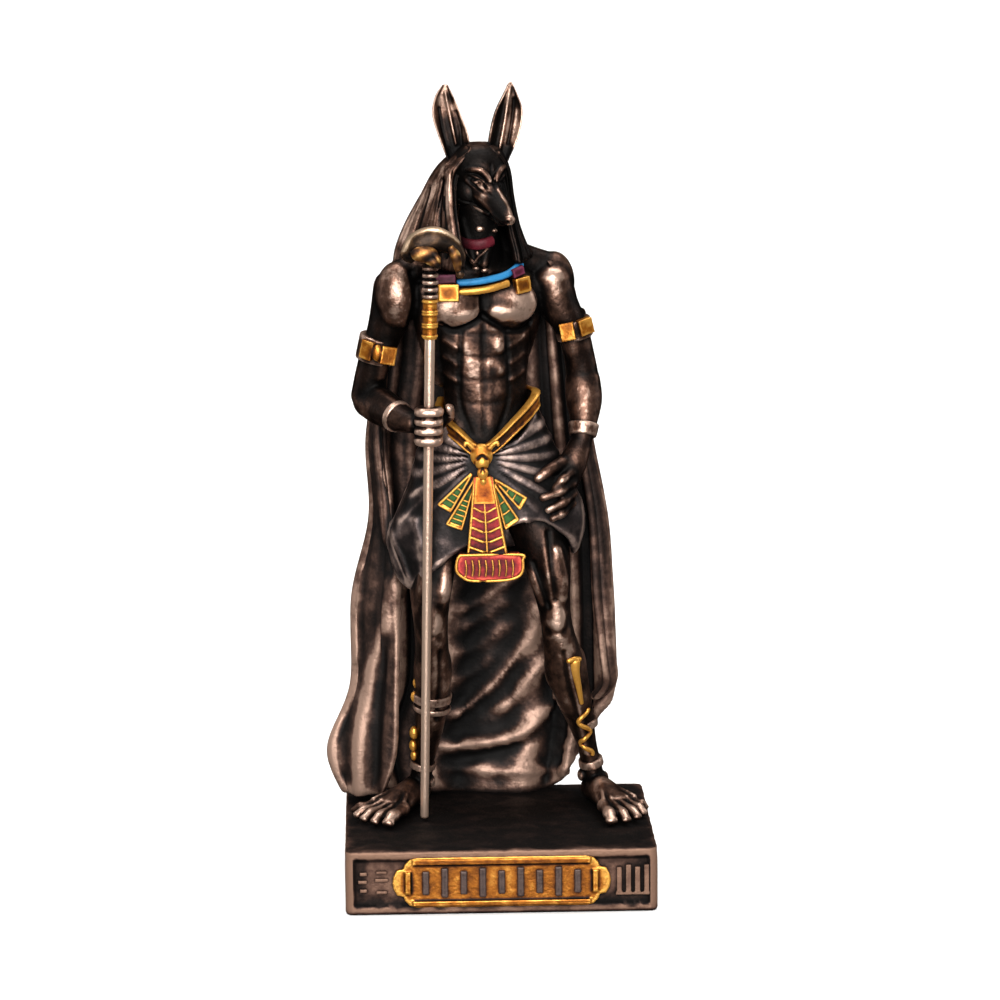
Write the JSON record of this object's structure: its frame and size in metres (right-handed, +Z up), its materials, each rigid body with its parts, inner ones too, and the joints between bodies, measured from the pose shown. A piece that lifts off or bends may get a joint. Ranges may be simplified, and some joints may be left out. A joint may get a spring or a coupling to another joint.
{
  "type": "anubis standing statue",
  "caption": "Standing jackal-headed figure in a head cloth, kilt and long cloak, holding a tall curled-head staff, on a rectangular plinth with a framed cartouche.",
  "frame": {"origin": "centre of the plinth's flat underside", "axes": "+Z up; the front of the plinth and the figure face -Y; +X is to the viewer's right as seen from the front"},
  "size_m": [0.0368, 0.0284, 0.0901],
  "materials": {
    "bronze_resin": "cold-cast bronze resin: near-black brown patina, rubbed back to copper on the raised parts, with painted details",
    "copper_resin": "cold-cast copper resin, rubbed bright, with a gold-painted grip",
    "bronze_resin_base": "cold-cast bronze resin, dark and rough on top, with a gold-painted cartouche",
    "kilt_bronze": "cold-cast bronze resin with a blue-grey wash over the cloth of the kilt",
    "gold_paint": "hand-painted metallic gold, browner in the recesses",
    "red_paint": "hand-painted red and maroon",
    "blue_paint": "hand-painted bright blue",
    "green_paint": "hand-painted green"
  },
  "bodies": {
    "root": {"figure": "bronze_resin", "sceptre": "copper_resin", "plinth": "bronze_resin_base"}
  },
  "joints": []
}
